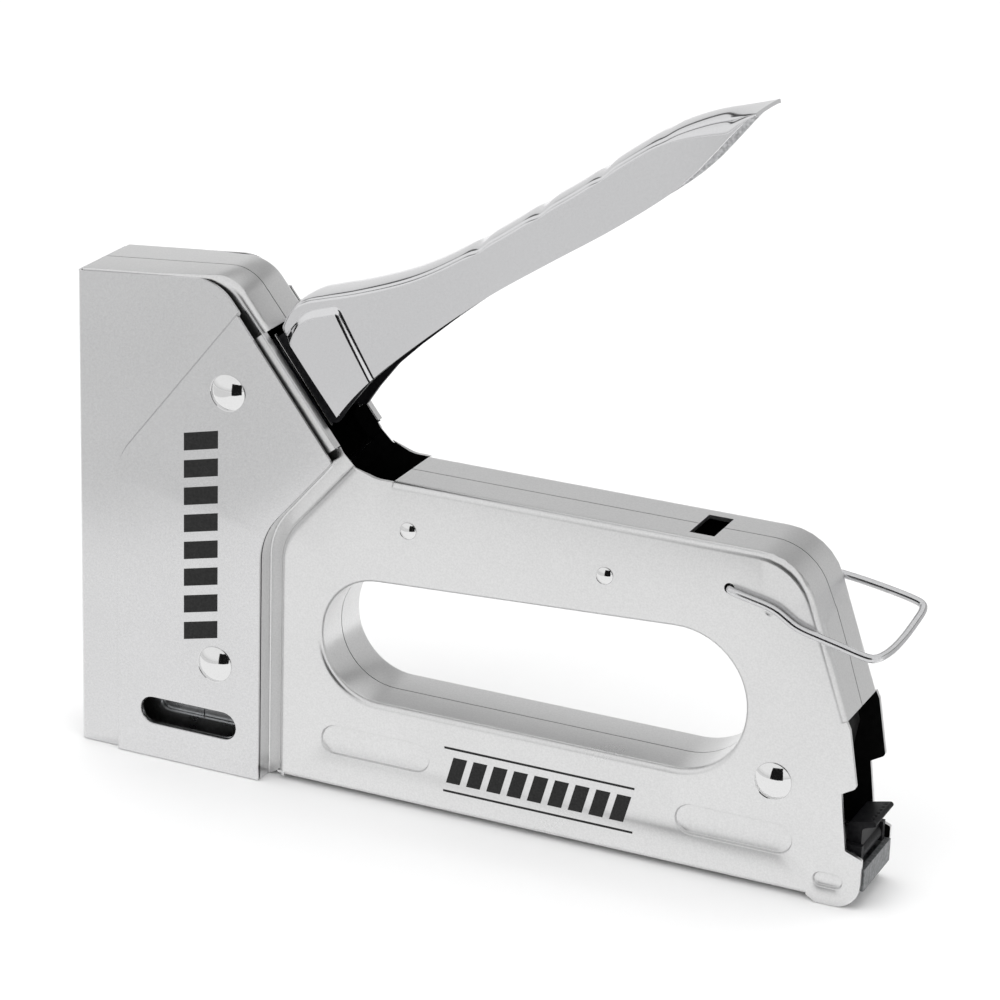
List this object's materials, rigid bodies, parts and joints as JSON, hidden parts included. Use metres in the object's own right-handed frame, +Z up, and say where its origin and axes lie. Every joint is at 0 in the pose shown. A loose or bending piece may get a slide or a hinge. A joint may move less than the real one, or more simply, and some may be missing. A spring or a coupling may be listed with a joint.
{
  "type": "staple gun",
  "caption": "Chrome hand-squeeze staple gun with a raised lever handle, finger opening, wire handle lock and a rear-loading sliding magazine.",
  "frame": {"origin": "centre of the nose's bottom face, straight under the driver blade where the staple leaves", "axes": "+X from the nose to the rear, +Y across the tool to its right side, +Z up from the resting plane"},
  "size_m": [0.186, 0.0278, 0.1621],
  "materials": {
    "side_plate": "satin nickel-chrome plated sheet",
    "cover_chrome": "satin nickel-chrome plated sheet",
    "handle_chrome": "polished chrome plate",
    "rivet_chrome": "polished chrome plate",
    "inner_steel": "oiled plain steel",
    "channel_steel": "zinc plated steel",
    "spring_steel": "dark spring steel",
    "staple_wire": "galvanised wire",
    "wire_steel": "bright steel wire",
    "cap_steel": "dark grey, fine ribs",
    "black_steel": "blackened steel",
    "black_plastic": "matt black",
    "bumper_rubber": "black rubber"
  },
  "bodies": {
    "frame": {"left_housing": "side_plate", "right_housing": "side_plate", "nose_cover": "cover_chrome", "driver_guide": "inner_steel", "nose_block": "inner_steel", "bumper": "bumper_rubber", "spring_cap": "inner_steel", "staple_channel": "channel_steel", "rear_spacer": "black_plastic", "pivot_rivet": "rivet_chrome", "pivot_sleeve": "inner_steel", "pivot_washers": "inner_steel", "nose_rivet": "rivet_chrome", "rear_rivet": "rivet_chrome", "grip_pins": "rivet_chrome"},
    "handle": {"handle_shell": "handle_chrome", "inner_lever": "black_steel", "return_spring": "spring_steel"},
    "plunger": {"plunger_core": "inner_steel", "driver_blade": "channel_steel", "blade_rivets": "inner_steel", "core_rollers": "inner_steel", "main_spring": "spring_steel"},
    "magazine": {"staple_rail": "channel_steel", "magazine_cap": "cap_steel", "cap_ears": "black_steel", "latch_pin": "inner_steel", "pusher_rod": "inner_steel", "pusher_spring": "spring_steel", "staple_strip": "staple_wire"},
    "pusher": {"pusher": "channel_steel"},
    "latch": {"latch_tab": "black_steel"},
    "lock_wire": {"wire_loop": "wire_steel"}
  },
  "joints": [
    {"name": "handle_squeeze", "type": "hinge", "parent": "frame", "child": "handle", "pos_m": [0.0325, 0, 0.0877], "axis": [0, 1, 0], "range_deg": [0, 36], "stiffness_Nm_per_rad": 0.9, "springref_deg": -14.32},
    {"name": "plunger_lift", "type": "slide", "parent": "frame", "child": "plunger", "axis": [0, 0, 1], "range_m": [0, 0.0161], "deforming": ["main_spring"]},
    {"name": "magazine_slide", "type": "slide", "parent": "frame", "child": "magazine", "axis": [1, 0, 0], "range_m": [0, 0.1]},
    {"name": "pusher_slide", "type": "slide", "parent": "magazine", "child": "pusher", "axis": [1, 0, 0], "range_m": [0, 0.1], "stiffness_N_per_m": 20, "springref_m": -0.02},
    {"name": "latch_press", "type": "hinge", "parent": "magazine", "child": "latch", "pos_m": [0.1742, 0, 0.011], "axis": [0, 1, 0], "range_deg": [0, 8], "stiffness_Nm_per_rad": 0.02, "springref_deg": -17.19},
    {"name": "lock_swing", "type": "hinge", "parent": "frame", "child": "lock_wire", "pos_m": [0.1453, 0, 0.0648], "axis": [0, 1, 0], "range_deg": [-95, 0]}
  ],
  "couplings": [
    {"joint": "plunger_lift", "follows": "handle_squeeze", "m_per_rad": 0.02546}
  ]
}
